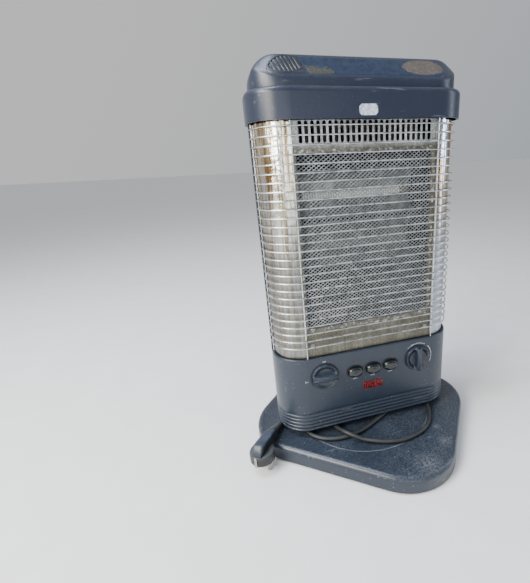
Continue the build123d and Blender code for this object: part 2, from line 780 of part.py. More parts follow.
# Coil of spare cord, tied, on the floor behind the foot: two and a half turns.
coil_centre = base_plane.from_local_coords((0, coil_y, 0))
with BuildPart() as cord_coil:
    with BuildSketch(Plane(origin=coil_centre, z_dir=(0, 0, 1))):
        Circle(coil_r + cord_r + 0.3)
        Circle(coil_r - cord_r - 0.3, mode=Mode.SUBTRACT)
    extrude(amount=coil_layers * (2 * cord_r + 0.3))
save(cord_coil, "cord_coil")

with BuildPart() as coil_tie:
    with BuildSketch(Plane(origin=coil_centre + base_rear * coil_r + Vector(0, 0, 12), x_dir=base_rear,
                           z_dir=Vector(*base_x_dir))):
        RectangleRounded(11, 24, 2.5)
        RectangleRounded(7.4, 21.9, 0.5, mode=Mode.SUBTRACT)
    extrude(amount=3, both=True)
save(coil_tie, "coil_tie")

# Angled earthed plug, standing on its pins beside the foot.
plug_centre = Vector(-187, -61, 0)
plug_dir = Vector(0.592, 0.806, 0)
plug_plane = Plane(origin=plug_centre, x_dir=plug_dir, z_dir=(0, 0, 1))
plug_side = Plane(origin=plug_centre, x_dir=plug_dir, z_dir=plug_dir.cross(Vector(0, 0, 1)))
relief_start = plug_centre + plug_dir * 32 + Vector(0, 0, 42)
relief_end = Vector(*tail_route[-1])
relief_dir = (relief_end - relief_start).normalized()
with BuildPart() as plug_body:
    with BuildSketch(plug_plane.offset(19.5)):
        Circle(19.5)
    extrude(amount=17)
    with BuildSketch(plug_side):
        with BuildLine():
            Polyline((-17, 36), (-9, 51), (14, 49), (34, 46.5), (34, 35), (17, 32), (0, 30), (-17, 30), close=True)
        make_face()
    extrude(amount=8.5, both=True)
    with BuildSketch(Plane(origin=relief_start, z_dir=relief_dir)):
        Circle(7.5)
    with BuildSketch(Plane(origin=relief_end, z_dir=relief_dir)):
        Circle(4.9)
    loft()
save(plug_body, "plug_body")

with BuildPart() as plug_pins:
    with BuildSketch(plug_plane.offset(0.5)):
        with Locations((0, -9.5), (0, 9.5)):
            Circle(2.4)
    extrude(amount=19)
save(plug_pins, "plug_pins")

with BuildPart() as plug_earth_clips:
    for clip_x, clip_h in ((-19.8, 17), (19.8, 10)):
        with BuildSketch(plug_plane.offset(19.5)):
            with Locations((clip_x, 0)):
                Rectangle(0.6, 4)
        extrude(amount=clip_h)
save(plug_earth_clips, "plug_earth_clips")
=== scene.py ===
import math
import random
import bmesh
import bpy
from mathutils import Matrix, Vector


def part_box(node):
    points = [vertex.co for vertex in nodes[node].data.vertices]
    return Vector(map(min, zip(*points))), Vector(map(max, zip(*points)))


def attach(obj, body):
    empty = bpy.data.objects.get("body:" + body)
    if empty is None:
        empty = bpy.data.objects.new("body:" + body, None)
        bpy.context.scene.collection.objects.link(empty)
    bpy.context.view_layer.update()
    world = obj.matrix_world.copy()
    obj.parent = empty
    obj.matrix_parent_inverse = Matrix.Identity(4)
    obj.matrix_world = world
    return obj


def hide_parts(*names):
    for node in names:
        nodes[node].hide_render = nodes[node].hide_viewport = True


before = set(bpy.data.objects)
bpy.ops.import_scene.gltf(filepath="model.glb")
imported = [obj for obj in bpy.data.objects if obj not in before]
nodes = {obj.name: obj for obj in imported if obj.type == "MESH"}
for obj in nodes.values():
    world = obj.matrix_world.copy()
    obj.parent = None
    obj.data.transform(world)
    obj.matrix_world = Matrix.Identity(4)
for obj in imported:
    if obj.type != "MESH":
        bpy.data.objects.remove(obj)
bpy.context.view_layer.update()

MM = 0.001


# Camera: a wide lens held close, above and to the left of the heater, tipped a little to one side.
def view_matrix(azimuth, elevation, roll):
    """The camera's axes for a heading round the object, a height angle and a tilt, in degrees."""
    az, el, tilt = (math.radians(angle) for angle in (azimuth, elevation, roll))
    back = Vector((math.sin(az) * math.cos(el), -math.cos(az) * math.cos(el), math.sin(el)))
    right = Vector((0, 0, 1)).cross(back).normalized()
    up = back.cross(right)
    tilted_right = right * math.cos(tilt) + up * math.sin(tilt)
    tilted_up = up * math.cos(tilt) - right * math.sin(tilt)
    return Matrix((tilted_right, tilted_up, back)).transposed().to_4x4()


lens = bpy.data.cameras.new("view_lens")
lens.sensor_fit = "VERTICAL"
lens.sensor_height = 36
lens.sensor_width = 36
lens.lens = 22.24
lens.shift_x = -0.116
lens.shift_y = -0.016
camera = bpy.data.objects.new("view_camera", lens)
bpy.context.scene.collection.objects.link(camera)
camera_place = Vector((-196.1, -521.1, 443.8)) * MM
camera.matrix_world = Matrix.Translation(camera_place) @ view_matrix(-16.2, 18.1, -2.7)
bpy.context.scene.camera = camera


# Materials share two small functions: one turns a paint-chart colour to linear light, the other adds a shader
# node with its settings and links.
def shade(code):
    """A linear colour from an sRGB hex code."""
    parts = [int(code[start:start + 2], 16) / 255 for start in (1, 3, 5)]
    return [part / 12.92 if part <= 0.04045 else ((part + 0.055) / 1.055) ** 2.4 for part in parts] + [1]


def wire(tree, kind, settings=None, **links):
    """Adds a node. settings are its properties, its inputs' values, or a ramp's (position, hex) stops; links
    are output sockets, by input name."""
    made = tree.nodes.new(kind)
    for key, value in (settings or {}).items():
        if key == "stops":
            bar = made.color_ramp.elements
            bar[0].position, bar[0].color = value[0][0], shade(value[0][1])
            bar[1].position, bar[1].color = value[-1][0], shade(value[-1][1])
            for position, code in value[1:-1]:
                bar.new(position).color = shade(code)
        elif isinstance(key, str) and hasattr(made, key):
            setattr(made, key, value)
        else:
            made.inputs[key].default_value = value
    for key, socket in links.items():
        name = key.replace("_", " ")
        tree.links.new(socket, made.inputs[int(name[1:])] if name[0] == "i" and name[1:].isdigit()
                       else made.inputs[name])
    return made


def begin(name):
    """A new material with an empty shader, its place texture in metres, and the shader node."""
    made = bpy.data.materials.new(name)
    made.use_nodes = True
    shader = made.node_tree.nodes["Principled BSDF"]
    place = made.node_tree.nodes.new("ShaderNodeTexCoord").outputs["Object"]
    return made, made.node_tree, shader, place


# Rubber-sheathed mains lead: a matt black sheath with floor dust worn into it. Its upper side is painted
# lighter: dust, and a painted sheen where the light falls.
def rubber_with_dust_and_sheen(name, base, dust, grain_mm, rough=0.62):
    made, tree, shader, place = begin(name)
    grain = wire(tree, "ShaderNodeTexNoise", {"Scale": 1 / (grain_mm * MM), "Detail": 6.0}, Vector=place)
    patch = wire(tree, "ShaderNodeTexNoise", {"Scale": 1 / (22 * MM), "Detail": 4.0}, Vector=place)
    facing = wire(tree, "ShaderNodeSeparateXYZ", None,
                  Vector=tree.nodes.new("ShaderNodeNewGeometry").outputs["Normal"])
    # Dust and painted sheen: faces that look up take the lighter colour.
    upward = wire(tree, "ShaderNodeMapRange", {"From Min": -0.1, "From Max": 1.0, "To Max": 0.55},
                  Value=facing.outputs["Z"])
    lying = wire(tree, "ShaderNodeMath", {"operation": "MULTIPLY"}, i0=upward.outputs[0],
                 i1=patch.outputs[0])
    tone = wire(tree, "ShaderNodeValToRGB", {"stops": ((0.0, base), (0.55, dust))},
                i0=lying.outputs[0]).outputs[0]
    tree.links.new(tone, shader.inputs["Base Color"])
    shader.inputs["Roughness"].default_value = rough
    bump = wire(tree, "ShaderNodeBump", {"Strength": 0.25, "Distance": 0.0004}, Height=grain.outputs[0])
    tree.links.new(bump.outputs[0], shader.inputs["Normal"])
    return made


lead_rubber = rubber_with_dust_and_sheen("black_rubber_sheath", "#090b0c", "#3b3e3f", 1.5, 0.55)

def smooth(low, high, value):
    """Eases from 0 to 1 as a value goes from low to high."""
    share = min(max((value - low) / (high - low), 0), 1)
    return share * share * (3 - 2 * share)


# Mains lead, 1.76 m of 7 mm three-core rubber cord: out of the foot's rear wall, two and a half tied turns on
# the floor behind it, over the foot's edge, one slack turn round the column and out to the plug beside the
# foot.
cord_width = 7 * MM
lead_route = [(74.4, 155.9, 14), (82.5, 166.0, 12.6), (93.2, 179.2, 5.0), (102.0, 190.1, 3.6)]
tail_route = [
    (164.3, 139.9, 18.2), (153.6, 126.6, 18.6), (144.3, 113.6, 21.5), (135.8, 99.9, 27.8),
              (128.9, 84.9, 31.4),
    (124.3, 68.0, 32), (121.2, 49.9, 32), (120.5, 29.9, 31.7), (120, 8.6, 31.7), (116, -15, 31.7),
    (108.5, -39, 31.7), (101, -61, 31.7), (89, -83, 31.7), (72, -99.5, 31.7), (50, -108.5, 31.7),
    (27, -112, 31.7), (5, -108.5, 31.7), (-15, -100, 31.9), (-33, -90.5, 32.8), (-46, -83, 37.6),
    (-56, -74, 39.6), (-62, -61, 36.6), (-66.5, -46, 32.4), (-67, -24, 31.7), (-63, 4, 31.7), (-50, 32, 31.7),
    (-27, 52, 31.7), (4, 58, 31.7), (33, 50, 31.7), (53, 28, 31.7), (58, 0, 31.7), (50, -24, 31.7),
    (34, -38, 31.7), (17, -48.3, 31.7), (0, -57, 31.7), (-17, -66, 31.7), (-35, -72.5, 31.7),
    (-54, -75, 31.7), (-73, -73.5, 31.7), (-90, -67.5, 31.7), (-104, -56.5, 31.7), (-112, -42, 31.7),
    (-117.5, -27, 31.7), (-113.3, -11.5, 31.7), (-101.1, -1.2, 31.7), (-85.1, 0.2, 31.7), (-73.8, 8.9, 31.7),
    (-69, 22.4, 31.7), (-72.2, 36.3, 31.7), (-82.5, 46.3, 31.7), (-96.5, 49.2, 31.7), (-109.8, 44.1, 31.7),
    (-119.6, 31, 31.7), (-129.7, 17.2, 31.8), (-140, 3, 32.3), (-150.3, -11, 33.6),
]
coil_low, coil_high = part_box("cord_coil")
coil_middle = (coil_low + coil_high) / 2
turn_count, turn_points = 2.5, 16
layer = 7.3 * MM
climb_from = 0.82
# The curve runs a little inside its points, so they stand outside the 40 mm turn.
coil_radius = 40 * MM / math.cos(math.pi / turn_points) ** 0.75
start_x, start_y, coil_floor = (c * MM for c in lead_route[-1])
start_angle = math.atan2(start_y - coil_middle.y, start_x - coil_middle.x)
turns = []
for step in range(1, int(turn_count * turn_points)):
    turn = step / turn_points
    level = math.floor(turn) + smooth(climb_from, 1, turn % 1)
    angle = start_angle - turn * 2 * math.pi
    turns.append((coil_middle.x + coil_radius * math.cos(angle),
                  coil_middle.y + coil_radius * math.sin(angle), coil_floor + layer * level))
route = [tuple(c * MM for c in point) for point in lead_route] + turns \
    + [tuple(c * MM for c in point) for point in tail_route]
cord_data = bpy.data.curves.new("mains_lead", "CURVE")
cord_data.dimensions = "3D"
cord_data.bevel_depth = cord_width / 2
cord_data.bevel_resolution = 6
cord_data.resolution_u = 8
spline = cord_data.splines.new("NURBS")
spline.points.add(len(route) - 1)
for point, place in zip(spline.points, route):
    point.co = (*place, 1)
spline.order_u = 3
spline.use_endpoint_u = True
mains_lead = bpy.data.objects.new("mains_lead", cord_data)
bpy.context.scene.collection.objects.link(mains_lead)
mains_lead.data.materials.append(lead_rubber)
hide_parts("cord_lead", "cord_coil", "cord_tail")
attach(mains_lead, "foot")


# The moulded pieces below are lofted: rings of points, one per section, joined into one closed skin.
def build(name, verts, faces, material, slot_name, body, sharp=40):
    """An object from points and faces, smooth except along edges sharper than an angle, riding on a body."""
    mesh = bpy.data.meshes.new(name)
    mesh.from_pydata([tuple(v) for v in verts], [], faces)
    work = bmesh.new()
    work.from_mesh(mesh)
    bmesh.ops.remove_doubles(work, verts=work.verts, dist=1e-6)
    bmesh.ops.recalc_face_normals(work, faces=work.faces)
    work.to_mesh(mesh)
    work.free()
    mesh.polygons.foreach_set("use_smooth", [True] * len(mesh.polygons))
    mesh.set_sharp_from_angle(angle=math.radians(sharp))
    made = bpy.data.objects.new(name, mesh)
    bpy.context.scene.collection.objects.link(made)
    made.data.materials.append(material)
    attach(made, body)
    return made


def loft(rings, capped=(True, True)):
    """Points and faces of a skin through closed rings that have the same number of points."""
    count = len(rings[0])
    verts = [point for ring in rings for point in ring]
    faces = []
    for row in range(len(rings) - 1):
        for col in range(count):
            here, ahead = row * count + col, row * count + (col + 1) % count
            faces.append((here, ahead, ahead + count, here + count))
    if capped[0]:
        faces.append(tuple(range(count)))
    if capped[1]:
        faces.append(tuple(range(len(verts) - count, len(verts))))
    return verts, faces


# Angled earthed plug: black moulded rubber-like PVC. A round front stands under a flat grip that narrows to a
# ribbed strain relief; the pins point down.
plug_middle = Vector((-187, -61, 0)) * MM
plug_dir = Vector((0.592, 0.806, 0))
plug_side = Vector((-0.806, 0.592, 0))
relief_end_world = Vector(tail_route[-1]) * MM


def plug_point(along, across, up):
    return plug_middle + plug_dir * along * MM + plug_side * across * MM + Vector((0, 0, up * MM))


def box_ring(centre, ahead, half_w, half_h, power, count=32):
    """A ring of points on a soft-cornered rectangle square to a direction."""
    across = Vector((0, 0, 1)).cross(ahead).normalized()
    up = ahead.cross(across)
    ring = []
    for index in range(count):
        angle = 2 * math.pi * index / count
        c, s = math.cos(angle), math.sin(angle)
        ring.append(centre + across * half_w * MM * math.copysign(abs(c) ** (2 / power), c)
                    + up * half_h * MM * math.copysign(abs(s) ** (2 / power), s))
    return ring


plug_pvc = rubber_with_dust_and_sheen("black_plug_pvc", "#15191a", "#59605f", 0.9, 0.45)
# The grip's upward faces turn blue-grey: dust, and a painted reflection on its top facet.
grip_pvc_dust_and_sheen = rubber_with_dust_and_sheen("grip_pvc_dust_and_painted_sheen", "#0f1315", "#4d586a", 0.9, 0.36)
disc_rings = []
for up, radius in ((19.5, 17.6), (19.9, 18.4), (21, 18.9), (30, 19.0), (34.6, 18.9), (36, 17.9), (36.4, 16),
                   (36.6, 10)):
    disc_rings.append([plug_point(radius * math.cos(a * math.pi / 24), radius * math.sin(a * math.pi / 24),
                                  up)
                       for a in range(48)])
plug_front = build("plug_front", *loft(disc_rings), plug_pvc, "cord_rubber", "foot", 50)
grip_rings = []
for along, low, high, half_w, power in ((-17.5, 34, 37, 7, 3), (-16.5, 33, 40.5, 8, 4),
                                        (-10.5, 32, 49.5, 8.4, 5),
                                        (-8, 32, 51, 8.6, 6), (2, 31.5, 50.6, 8.6, 7), (14, 32, 49.6, 8.4, 7),
                                        (24, 33, 48.6, 7.8, 6), (31, 34.5, 47.6, 7.2, 5),
                                        (34.5, 35.5, 46.6, 6.8, 3.4)):
    grip_rings.append(box_ring(plug_point(along, 0, (low + high) / 2), plug_dir, half_w, (high - low) / 2,
                               power))
plug_grip = build("plug_grip", *loft(grip_rings), grip_pvc_dust_and_sheen, "cord_rubber", "foot", 35)
relief_rings = []
relief_from = plug_point(32, 0, 41.6)
relief_way = relief_end_world - relief_from
for step in range(29):
    share = step / 28
    groove = 0.75 if step % 4 == 2 and 3 < step < 26 else 0
    size = 6.6 - 1.9 * share - groove
    relief_rings.append(box_ring(relief_from + relief_way * share, relief_way.normalized(), size, size, 2.6,
                                 24))
plug_relief = build("plug_relief", *loft(relief_rings), plug_pvc, "cord_rubber", "foot", 50)
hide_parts("plug_body")


def mottled(name, grain_mm, detail, stops, rough, **sockets):
    """A material whose colour drifts between stops over a noise grain; other sockets are set by name."""
    made, tree, shader, place = begin(name)
    drift = wire(tree, "ShaderNodeTexNoise", {"Scale": 1 / (grain_mm * MM), "Detail": detail}, Vector=place)
    tone = wire(tree, "ShaderNodeValToRGB", {"stops": stops}, i0=drift.outputs[0])
    tree.links.new(tone.outputs[0], shader.inputs["Base Color"])
    for socket, value in (("Roughness", rough), *sockets.items()):
        shader.inputs[socket].default_value = value
    return made


def paint(material, *names):
    """CAD nodes take a material."""
    for name in names:
        data = nodes[name].data
        data.materials.clear()
        data.materials.append(material)


# Plug pins and earth clips: nickel-plated brass, rubbed yellow in places.
plated_brass = mottled("nickel_plated_brass", 3, 4.0, ((0.3, "#b9bcb8"), (0.75, "#8f8f80")), 0.24, Metallic=1)
paint(plated_brass, "plug_pins", "plug_earth_clips")

gland_rubber = rubber_with_dust_and_sheen("gland_rubber", "#121415", "#5a5c5a", 1.2)
paint(gland_rubber, "cord_gland", "coil_tie")


# Slate blue-grey ABS, moulded with a fine satin grain. Dust settles as fine grit on what faces up, small pale
# specks stick to it, and light scratches cross it.
def slate_abs(name, base, dust, dust_amount, specks, rough=0.42, smudge=0.25):
    made, tree, shader, place = begin(name)
    normal = tree.nodes.new("ShaderNodeNewGeometry").outputs["Normal"]
    up = wire(tree, "ShaderNodeSeparateXYZ", None, Vector=normal).outputs["Z"]
    upward = wire(tree, "ShaderNodeMapRange",
                  {"From Min": 0.1, "From Max": 0.95, "To Min": smudge, "To Max": 1.0},
                  Value=up)
    cloud = wire(tree, "ShaderNodeTexNoise", {"Scale": 1 / (55 * MM), "Detail": 5.0, "Roughness": 0.6},
                 Vector=place)
    grit = wire(tree, "ShaderNodeTexNoise", {"Scale": 1 / (2.2 * MM), "Detail": 8.0, "Roughness": 0.75},
                Vector=place)
    drift = wire(tree, "ShaderNodeMapRange", {"From Min": 0.3, "From Max": 0.7, "To Min": 0.25,
                                              "To Max": 1.0},
                 Value=cloud.outputs[0])
    grains = wire(tree, "ShaderNodeMapRange", {"From Min": 0.42, "From Max": 0.66, "To Max": dust_amount},
                  Value=grit.outputs[0])
    film = wire(tree, "ShaderNodeMath", {"operation": "MULTIPLY"}, i0=drift.outputs[0], i1=grains.outputs[0])
    lying = wire(tree, "ShaderNodeMath", {"operation": "MULTIPLY", "use_clamp": True}, i0=upward.outputs[0],
                 i1=film.outputs[0])
    dusted = wire(tree, "ShaderNodeMix", {"data_type": "RGBA", 6: shade(base), 7: shade(dust)},
                  i0=lying.outputs[0])
    # Specks: at most one in each 6 mm cell, about 0.8 mm across.
    cells = wire(tree, "ShaderNodeTexVoronoi", {"Scale": 1 / (6 * MM), "Randomness": 1.0}, Vector=place)
    dot = wire(tree, "ShaderNodeMapRange", {"From Min": 0.10, "From Max": 0.06, "To Max": specks},
               Value=cells.outputs["Distance"])
    pick = wire(tree, "ShaderNodeSeparateColor", None, Color=cells.outputs["Color"])
    some = wire(tree, "ShaderNodeMath", {"operation": "GREATER_THAN", 1: 0.6}, i0=pick.outputs[0])
    spot = wire(tree, "ShaderNodeMath", {"operation": "MULTIPLY", "use_clamp": True}, i0=dot.outputs[0],
                i1=some.outputs[0])
    specked = wire(tree, "ShaderNodeMix", {"data_type": "RGBA", 7: shade("#c4c2b4")}, i0=spot.outputs[0],
                   i6=dusted.outputs[2])
    # Scratches: noise drawn out ten to one along a slant.
    slant = wire(tree, "ShaderNodeMapping", {"Rotation": (0.5, 0.4, 0.6), "Scale": (1, 12, 9)}, Vector=place)
    hair = wire(tree, "ShaderNodeTexNoise", {"Scale": 1 / (60 * MM), "Detail": 5.0}, Vector=slant.outputs[0])
    scratch = wire(tree, "ShaderNodeMapRange", {"From Min": 0.66, "From Max": 0.70, "To Max": 0.18},
                   Value=hair.outputs[0])
    worn = wire(tree, "ShaderNodeMix", {"data_type": "RGBA", 7: shade("#8d93a0")}, i0=scratch.outputs[0],
                i6=specked.outputs[2])
    tree.links.new(worn.outputs[2], shader.inputs["Base Color"])
    matt = wire(tree, "ShaderNodeMapRange", {"To Min": rough, "To Max": min(rough + 0.3, 0.95)},
                Value=lying.outputs[0])
    tree.links.new(matt.outputs[0], shader.inputs["Roughness"])
    shader.inputs["IOR"].default_value = 1.53
    grain = wire(tree, "ShaderNodeTexNoise", {"Scale": 1 / (0.9 * MM), "Detail": 2.0}, Vector=place)
    bump = wire(tree, "ShaderNodeBump", {"Strength": 0.15, "Distance": 0.0002}, Height=grain.outputs[0])
    tree.links.new(bump.outputs[0], shader.inputs["Normal"])
    return made


# Foot: one heavy moulding, its top dusty and its turning circle worn pale where the body has been swung
# round.
foot_abs = slate_abs("slate_abs_foot", "#1b2430", "#6b737d", 0.62, 0.9, 0.3, 0.12)
tree = foot_abs.node_tree
shader = tree.nodes["Principled BSDF"]
place = next(n for n in tree.nodes if n.bl_idname == "ShaderNodeTexCoord").outputs["Object"]
flat = wire(tree, "ShaderNodeVectorMath", {"operation": "MULTIPLY", 1: (1, 1, 0)}, i0=place)
reach = wire(tree, "ShaderNodeVectorMath", {"operation": "LENGTH"}, i0=flat.outputs[0])
away = wire(tree, "ShaderNodeMath", {"operation": "SUBTRACT", 1: 116 * MM}, i0=reach.outputs["Value"])
off = wire(tree, "ShaderNodeMath", {"operation": "ABSOLUTE"}, i0=away.outputs[0])
patchy = wire(tree, "ShaderNodeTexNoise", {"Scale": 1 / (25 * MM), "Detail": 3.0}, Vector=place)
line = wire(tree, "ShaderNodeMapRange", {"From Min": 1.1 * MM, "From Max": 0.5 * MM, "To Max": 0.6},
            Value=off.outputs[0])
rubbed = wire(tree, "ShaderNodeMath", {"operation": "MULTIPLY"}, i0=line.outputs[0], i1=patchy.outputs[0])
before = shader.inputs["Base Color"].links[0].from_socket
ringed = wire(tree, "ShaderNodeMix", {"data_type": "RGBA", 7: shade("#a8adb4")}, i0=rubbed.outputs[0],
              i6=before)
# Scuffs: the glaze of the moulding is rubbed chalky in three places on the foot's outer corner.
scuffed = ringed.outputs[2]
for spot, size in (((39.5, -163), 26), ((93, -99), 9), ((87, -131), 14)):
    away = wire(tree, "ShaderNodeVectorMath", {"operation": "DISTANCE", 1: (spot[0] * MM, spot[1] * MM, 0)},
                i0=flat.outputs[0])
    near = wire(tree, "ShaderNodeMapRange", {"From Min": size * MM, "From Max": 0.1 * size * MM,
                                             "To Max": 0.2},
                Value=away.outputs["Value"])
    rough_edge = wire(tree, "ShaderNodeTexNoise", {"Scale": 1 / (4 * MM), "Detail": 8.0, "Roughness": 0.8},
                      Vector=place)
    chalk = wire(tree, "ShaderNodeMapRange", {"From Min": 0.42, "From Max": 0.6}, Value=rough_edge.outputs[0])
    rub = wire(tree, "ShaderNodeMath", {"operation": "MULTIPLY"}, i0=near.outputs[0], i1=chalk.outputs[0])
    scuffed = wire(tree, "ShaderNodeMix", {"data_type": "RGBA", 7: shade("#b4b7ba")}, i0=rub.outputs[0],
                   i6=scuffed).outputs[2]
tree.links.new(scuffed, shader.inputs["Base Color"])
paint(foot_abs, "base_shell")

# Floor plate, screws, pivot, arm, crank and motor cases: zinc-plated steel, faintly brushed.
zinc_steel = mottled("zinc_plated_steel", 6, 5.0, ((0.3, "#8c8f90"), (0.7, "#b4b6b3")), 0.36, Metallic=1)
paint(zinc_steel, "base_plate", "base_screws", "rear_screws", "front_screws", "pivot_shaft", "swing_arm",
      "swing_crank", "retaining_ring", "swing_motor", "fan_motor", "thermal_cutout")
pad_rubber = rubber_with_dust_and_sheen("pad_rubber", "#101112", "#3c3d3d", 1.0, 0.8)
paint(pad_rubber, "base_feet")

# Bushes, switch blocks and the fan: black nylon, half gloss, seen only through slots.
black_nylon = mottled("black_nylon", 4, 3.0, ((0.3, "#16181a"), (0.8, "#232628")), 0.4)
paint(black_nylon, "swivel_bush", "rotary_switch", "thermostat", "push_switches", "terminal_block",
      "tip_switch",
      "fan_scroll", "fan_rotor", "fan_bearing")


# Column, floor and casing back: the same slate ABS, clean where hands and dust do not reach.
casing_abs = slate_abs("slate_abs_casing", "#1b2430", "#56606c", 0.45, 0.4)
paint(casing_abs, "swivel_collar", "bottom_cover", "rear_shell")


# Control housing: an injection-moulded tub. Five round-bottomed ribs run round its skirt, and a lip round its
# top edge stands in front of the sheet metal.
def oval(width, depth, corner, height, steps=14):
    """A ring on a rounded rectangle, in millimetres, at a height."""
    ring = []
    for quarter, (sx, sy) in enumerate(((1, 1), (-1, 1), (-1, -1), (1, -1))):
        for step in range(steps + 1):
            angle = math.radians(90 * quarter + 90 * step / steps)
            ring.append(Vector((sx * (width / 2 - corner) + corner * math.cos(angle),
                                sy * (depth / 2 - corner) + corner * math.sin(angle), height)) * MM)
    return ring


body_w, body_d, body_corner = 300, 105.4, 47
profile = [(2.5, 46), (2.5, 40.4), (2.1, 39.7), (1.2, 39.5), (0.4, 39.9), (0, 40.8)]
for rib in range(5):
    middle = 43.7 + 6.4 * rib
    profile += [(0, middle - 2.1), (0.12, middle - 1.6), (0.7, middle - 0.9), (1.25, middle - 0.3),
                (1.35, middle + 0.35), (1.0, middle + 0.8), (0.3, middle + 1.15), (0.05, middle + 1.6),
                (-0.12, middle + 2.4)]
profile += [(0, 76), (0, 120), (0, 165.6), (0.15, 166.8), (0.7, 167.7), (1.5, 168), (3.4, 168), (3.9, 167.7),
            (4.1, 167), (4.2, 164.6), (30, 164.6)]
housing_rings = [oval(body_w - 2 * inset, body_d - 2 * inset, body_corner - inset, height)
                 for inset, height in profile]
housing_abs = slate_abs("slate_abs_housing", "#192330", "#5c6672", 0.5, 0.45, 0.34, 0.25)
housing = build("moulded_housing", *loft(housing_rings, (False, False)), housing_abs, "slate_plastic",
                "heater", 60)
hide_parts("control_housing")


# The controls stand on the housing's flat front. Each is a relief: an outline with a height at every point.
def relief(name, centre, outline, height, material, slot_name, body, rings=30, back=0.0, sharp=40):
    """A raised form on the front: u runs right, v up and the height towards the viewer, in millimetres."""
    skirt = [(u, v, -back) for u, v in outline]
    rows = [skirt]
    for ring in range(rings):
        share = 1 - ring / rings
        rows.append([(u * share, v * share, height(u * share, v * share)) for u, v in outline])
    placed = [[Vector((centre[0] + u, centre[1] - out, centre[2] + v)) * MM for u, v, out in row]
              for row in rows]
    verts, faces = loft(placed, (True, True))
    return build(name, verts, faces, material, slot_name, body, sharp)


front_y = -body_d / 2
knob_radius = 21.5
knob_abs = slate_abs("slate_abs_knobs", "#131b28", "#66707c", 0.6, 0.4, 0.3, 0.3)
# Painted shade: a near-black slate behind each knob, round each button and under the vent's slots, for the
# shade in those gaps.
painted_shade_abs = slate_abs("slate_abs_shadow_gap", "#0c1016", "#20262e", 0.3, 0.1, 0.6)


def knob_height(along, across):
    """A sunk disc inside a rim, with a waisted, ridged grip bar across it and a scoop on either side."""
    radius = math.hypot(along, across)
    rim = smooth(knob_radius, knob_radius - 1.3, radius)
    floor = 1.6 + 3.0 * smooth(knob_radius - 8, knob_radius - 1.6, radius)
    waist = 3.4 + 1.6 * (along / knob_radius) ** 2
    bar = smooth(waist + 2.6, waist, abs(across))
    crest = 13.4 - 3.2 * (along / knob_radius) ** 2 - 3.4 * min(abs(across) / waist, 1) ** 1.5
    ends = smooth(knob_radius, knob_radius - 1.6, radius)
    return 0.5 + rim * (floor - 0.5) * (1 - bar) + bar * ends * (crest - 0.5)


def ring_outline(radius, tip=0.0, count=120):
    """A circle, drawn out to a small point at the bottom where tip is not zero."""
    outline = []
    for index in range(count):
        angle = 2 * math.pi * index / count
        away = math.atan2(math.sin(angle + math.pi / 2), math.cos(angle + math.pi / 2))
        reach = radius + tip * math.exp(-(away / 0.16) ** 2)
        outline.append((reach * math.cos(angle), reach * math.sin(angle)))
    return outline


for name, body, side, tip, upright in (("power_dial", "power_knob", -1, 0, False),
                                       ("thermostat_dial", "thermostat_knob", 1, 4.2, True)):
    knob_low, knob_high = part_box(body)
    centre = ((knob_low.x + knob_high.x) / 2 / MM, front_y, (knob_low.z + knob_high.z) / 2 / MM)
    shape = (lambda u, v: knob_height(v, u)) if upright else knob_height
    dial = relief(name, centre, ring_outline(knob_radius - 0.2, tip), shape, knob_abs, "knob_plastic", body,
                  rings=44, back=-0.4)
    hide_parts(body)
    # A dark disc behind the knob shows round it as a ring of painted shade.
    relief(name + "_shade_ring", centre, ring_outline(knob_radius + 1.5), lambda u, v: 0.25, painted_shade_abs,
           "slate_plastic", "heater", rings=4)

# Red dot let into the left end of the on-off grip, and three red marks over the buttons: glossy red enamel.
red_enamel = mottled("red_enamel", 2, 2.0, ((0.3, "#6a0c12"), (0.8, "#3d080b")), 0.3)
knob_low, knob_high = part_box("power_knob")
knob_x = (knob_low.x + knob_high.x) / 2 / MM
knob_z = (knob_low.z + knob_high.z) / 2 / MM
relief("power_dial_dot", (knob_x - 14, front_y - 11.2, knob_z), ring_outline(1.3, 0, 20), lambda u, v: 0.45,
       red_enamel, "red_lens", "power_knob", rings=3)
paint(red_enamel, "button_marks")

# White dial marks: short pad-printed strokes, only ticks.
print_white = mottled("white_printing_ink", 1.2, 3.0, ((0.35, "#a3adb8"), (0.6, "#e6ebef")), 0.6)


def ticks(name, centre, places):
    """Printed strokes: each is a place, a length, a width and a turn, in millimetres and degrees."""
    verts, faces = [], []
    for u, v, long, wide, turn in places:
        c, s = math.cos(math.radians(turn)), math.sin(math.radians(turn))
        start = len(verts)
        for out in (0.02, 0.12):
            for a, b in ((-1, -1), (1, -1), (1, 1), (-1, 1)):
                du, dv = a * long / 2, b * wide / 2
                verts.append(Vector((centre[0] + u + du * c - dv * s, front_y - out,
                                     centre[2] + v + du * s + dv * c)) * MM)
        faces += [(start, start + 1, start + 2, start + 3), (start + 4, start + 5, start + 6, start + 7)]
        faces += [(start + k, start + (k + 1) % 4, start + 4 + (k + 1) % 4, start + 4 + k) for k in range(4)]
    return build(name, verts, faces, print_white, "slate_plastic", "heater")


def arc_ticks(radius, first, last, count, long, wide):
    """Strokes set round a dial between two angles."""
    found = []
    for index in range(count):
        angle = first + (last - first) * index / (count - 1)
        found.append((radius * math.cos(math.radians(angle)), radius * math.sin(math.radians(angle)), long,
                      wide,
                      angle + (90 if index % 3 else 0)))
    return found


